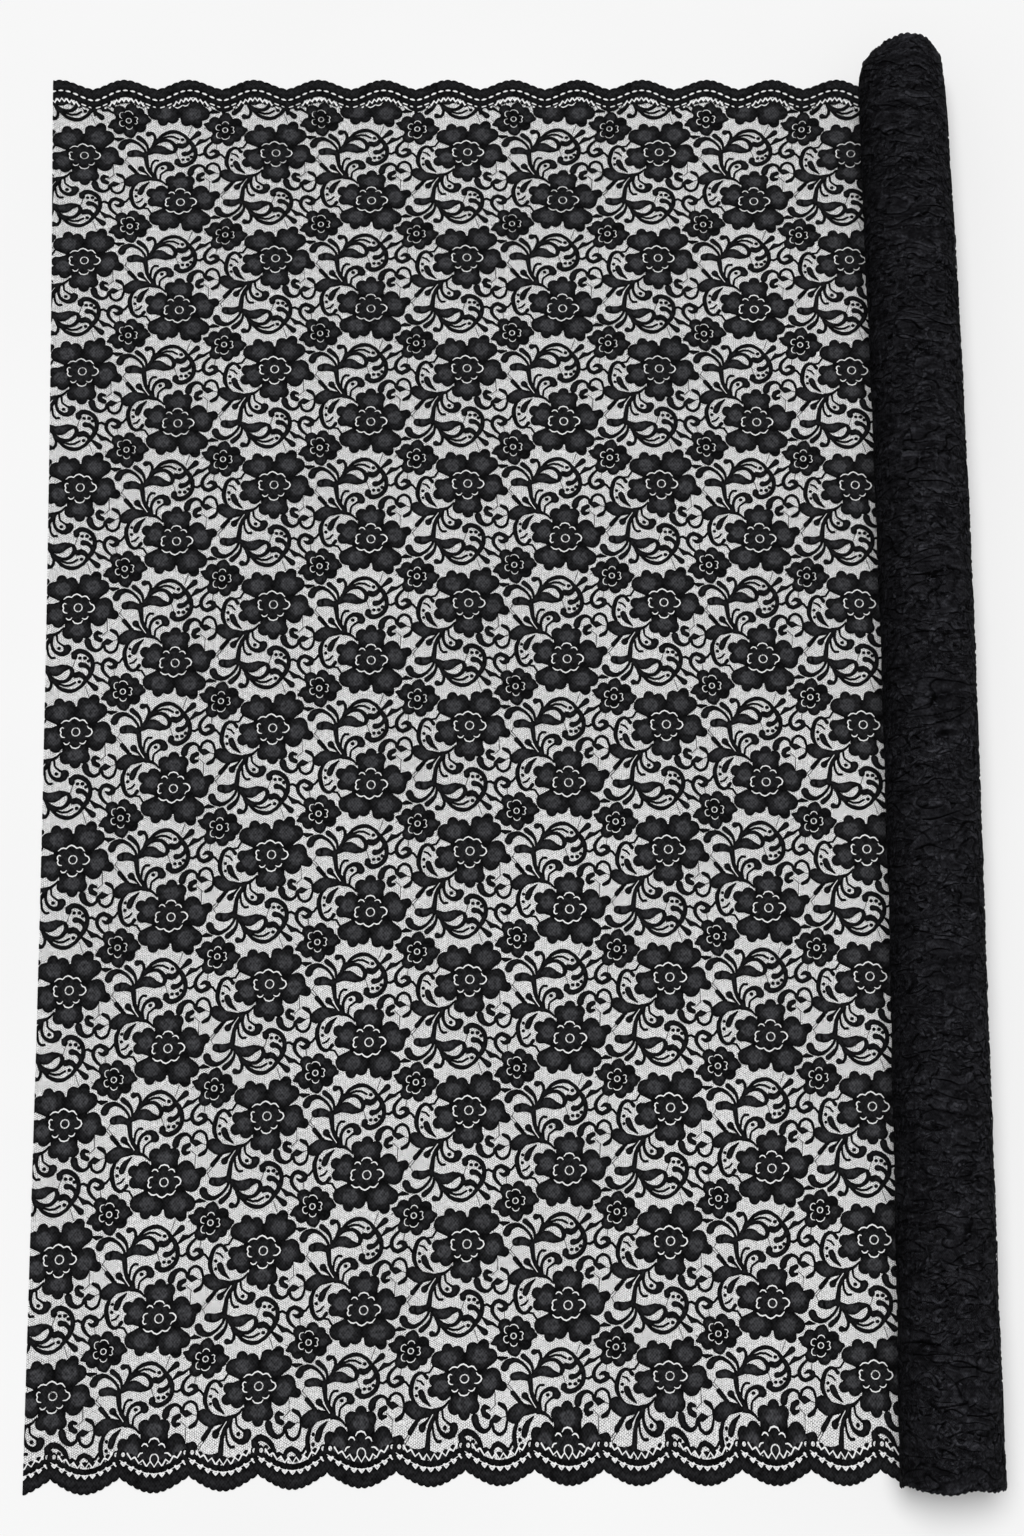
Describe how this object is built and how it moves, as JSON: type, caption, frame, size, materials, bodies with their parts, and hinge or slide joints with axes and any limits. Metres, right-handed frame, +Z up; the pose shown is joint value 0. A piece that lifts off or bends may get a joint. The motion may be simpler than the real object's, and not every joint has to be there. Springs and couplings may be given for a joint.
{
  "type": "roll of lace fabric",
  "caption": "Long roll of black floral lace lying on its side, with its loose end drawn out flat from underneath and both selvages scalloped.",
  "frame": {"origin": "middle of the whole thing's box, on the surface that it lies on", "axes": "+Y along the roll, +X from the cut edge towards the roll, +Z up"},
  "size_m": [0.9936, 1.5334, 0.1039],
  "materials": {
    "black_lace": "soft, with a faint sheen on the raised outlines"
  },
  "bodies": {
    "root": {"lace_roll": "black_lace", "loose_length": "black_lace"}
  },
  "joints": []
}
